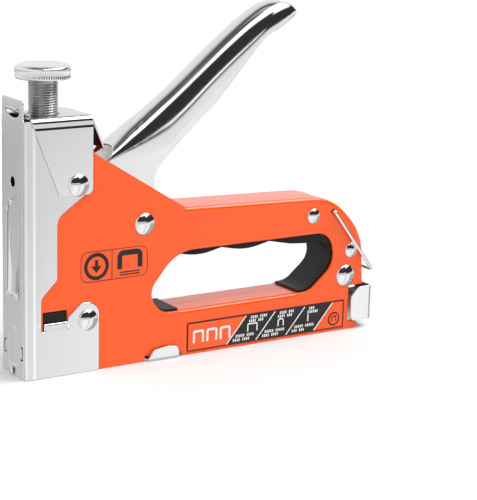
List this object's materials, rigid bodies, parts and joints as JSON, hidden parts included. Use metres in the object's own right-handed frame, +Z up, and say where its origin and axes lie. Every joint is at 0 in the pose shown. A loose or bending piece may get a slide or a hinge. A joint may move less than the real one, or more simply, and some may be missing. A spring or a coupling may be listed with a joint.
{
  "type": "staple gun",
  "caption": "Hand staple gun with painted steel shells, chrome nose, squeeze lever, force screw, lock wire and a rear-loading sprung magazine.",
  "frame": {"origin": "base of the nose's front face, on the mid-plane", "axes": "+X from the nose to the rear, +Y across the body, +Z up along the nose"},
  "size_m": [0.1711, 0.027, 0.146],
  "materials": {
    "orange_paint": "gloss",
    "chrome_plate": "polished",
    "zinc_steel": "satin",
    "spring_steel": "satin",
    "black_plastic": "satin",
    "black_rubber": "matt",
    "label_print": "satin"
  },
  "bodies": {
    "frame": {"left_shell": "orange_paint", "right_shell": "orange_paint", "nose_channel": "chrome_plate", "top_bracket": "chrome_plate", "bracket_nut": "zinc_steel", "bumper": "black_rubber", "striker_guide": "zinc_steel", "lift_arm_pin": "zinc_steel", "pivot_rivet": "chrome_plate", "bracket_rivet": "chrome_plate", "nose_rivet": "chrome_plate", "frame_rivets": "chrome_plate", "magazine_rivet": "chrome_plate", "grip_liner": "black_plastic", "magazine_channel": "zinc_steel", "magazine_clip": "chrome_plate", "left_label": "label_print", "right_label": "label_print"},
    "lever": {"handle_lever": "chrome_plate", "lever_return_spring": "spring_steel"},
    "arm": {"lift_arm": "zinc_steel"},
    "striker": {"plunger": "zinc_steel", "striker_blade": "spring_steel", "main_spring": "spring_steel"},
    "seat": {"spring_seat": "zinc_steel"},
    "force_adjuster": {"force_knob": "chrome_plate", "force_screw": "zinc_steel"},
    "bail": {"lock_wire": "chrome_plate"},
    "drawer": {"staple_rail": "zinc_steel", "guide_rod": "zinc_steel", "pull_grip": "chrome_plate"},
    "follower": {"pusher": "zinc_steel", "pusher_spring": "spring_steel"}
  },
  "joints": [
    {"name": "lever_squeeze", "type": "hinge", "parent": "frame", "child": "lever", "pos_m": [0.054, 0, 0.0585], "axis": [0, 1, 0], "range_deg": [0, 46], "stiffness_Nm_per_rad": 1.5, "springref_deg": -14.32},
    {"name": "arm_lift", "type": "hinge", "parent": "frame", "child": "arm", "pos_m": [0.04385, 0, 0.05411], "axis": [0, 1, 0], "range_deg": [0, 40.8]},
    {"name": "striker_lift", "type": "slide", "parent": "frame", "child": "striker", "axis": [0, 0, 1], "range_m": [0, 0.01604], "deforming": ["main_spring"]},
    {"name": "seat_travel", "type": "slide", "parent": "frame", "child": "seat", "axis": [0, 0, 1], "range_m": [-0.006, 0], "deforming": ["main_spring"]},
    {"name": "knob_turn", "type": "hinge", "parent": "seat", "child": "force_adjuster", "pos_m": [0.0133, 0, 0.119], "axis": [0, 0, 1], "range_deg": [-2165, 0]},
    {"name": "bail_swing", "type": "hinge", "parent": "frame", "child": "bail", "pos_m": [0.148, 0, 0.0545], "axis": [0, -1, 0], "range_deg": [0, 172]},
    {"name": "drawer_pull", "type": "slide", "parent": "frame", "child": "drawer", "axis": [1, 0, 0], "range_m": [0, 0.09]},
    {"name": "pusher_slide", "type": "slide", "parent": "drawer", "child": "follower", "axis": [1, 0, 0], "range_m": [0, 0.1], "stiffness_N_per_m": 20, "springref_m": -0.05, "deforming": ["pusher_spring"]}
  ],
  "couplings": [
    {"joint": "arm_lift", "follows": "lever_squeeze", "ratio": 0.8848},
    {"joint": "striker_lift", "follows": "lever_squeeze", "m_per_rad": 0.01995},
    {"joint": "knob_turn", "follows": "seat_travel", "rad_per_m": 6283.2}
  ]
}
